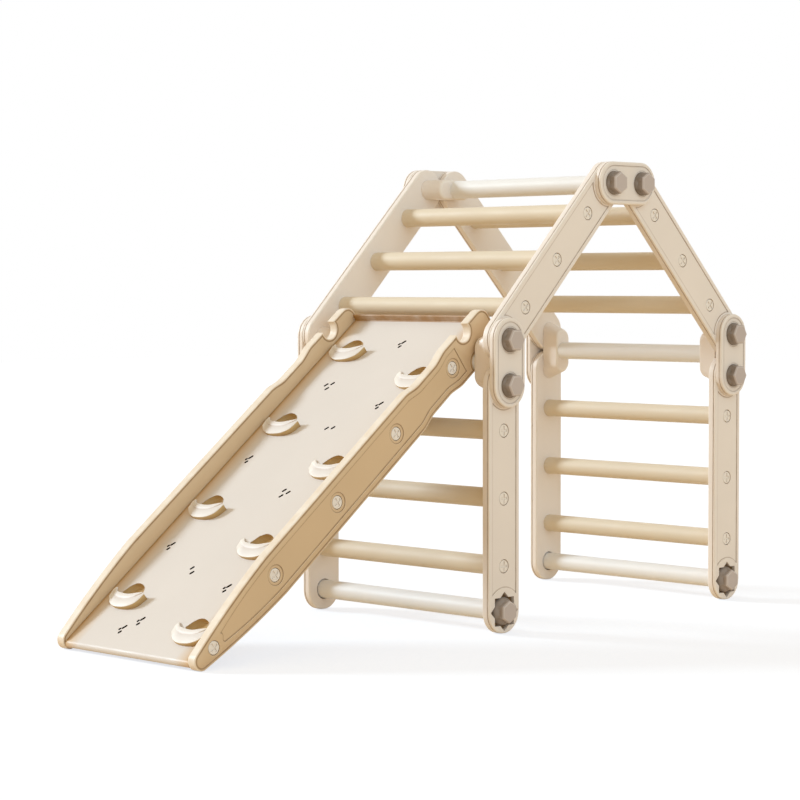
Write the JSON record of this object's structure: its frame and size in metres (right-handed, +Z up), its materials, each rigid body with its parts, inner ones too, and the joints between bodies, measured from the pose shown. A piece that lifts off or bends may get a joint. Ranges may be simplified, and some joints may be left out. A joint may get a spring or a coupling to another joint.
{
  "type": "climbing frame",
  "caption": "Toddlers' climbing frame: ladder panels bolted into a peaked arch with star-indexed joints, and a ramp with moulded holds hooked on a cross rod.",
  "frame": {"origin": "on the floor, in the middle of the footprint of the arch and its ramp", "axes": "+Z up; +X from the ramp's low end towards the back of the arch; +Y across, to the left of a child who climbs the ramp"},
  "size_m": [1.5186, 0.61, 0.9458],
  "materials": {
    "frame_cream": "satin moulded",
    "rod_ivory": "satin moulded",
    "rung_tan": "satin moulded",
    "ramp_tan": "satin moulded",
    "board_ivory": "satin moulded",
    "bolt_taupe": "satin moulded"
  },
  "bodies": {
    "frame": {"foot_bolts": "bolt_taupe", "front_foot_rod": "rod_ivory", "front_joint_bolts": "bolt_taupe", "front_joint_hubs": "frame_cream", "front_joint_plates": "frame_cream", "front_joint_rod": "rod_ivory", "front_leg_rail_left": "frame_cream", "front_leg_rail_right": "frame_cream", "front_leg_rung_lower": "rung_tan", "front_leg_rung_middle": "rung_tan", "front_leg_rung_upper": "rung_tan", "front_roof_rail_left": "frame_cream", "front_roof_rail_right": "frame_cream", "front_roof_rung_lower": "rung_tan", "front_roof_rung_middle": "rung_tan", "front_roof_rung_upper": "rung_tan", "rear_foot_rod": "rod_ivory", "rear_joint_bolts": "bolt_taupe", "rear_joint_hubs": "frame_cream", "rear_joint_plates": "frame_cream", "rear_joint_rod": "rod_ivory", "rear_leg_rail_left": "frame_cream", "rear_leg_rail_right": "frame_cream", "rear_leg_rung_lower": "rung_tan", "rear_leg_rung_middle": "rung_tan", "rear_leg_rung_upper": "rung_tan", "rear_roof_rail_left": "frame_cream", "rear_roof_rail_right": "frame_cream", "rear_roof_rung_lower": "rung_tan", "rear_roof_rung_middle": "rung_tan", "rear_roof_rung_upper": "rung_tan", "ridge_bolts": "bolt_taupe", "ridge_hubs": "frame_cream", "ridge_plates": "frame_cream", "ridge_rod": "rod_ivory"},
    "ramp": {"ramp_board": "board_ivory", "ramp_side_left": "ramp_tan", "ramp_side_right": "ramp_tan"}
  },
  "joints": [
    {"name": "ramp_pivot", "type": "hinge", "parent": "frame", "child": "ramp", "pos_m": [-0.01108, 0, 0.5386], "axis": [0, 1, 0], "range_deg": [0, 50]}
  ]
}
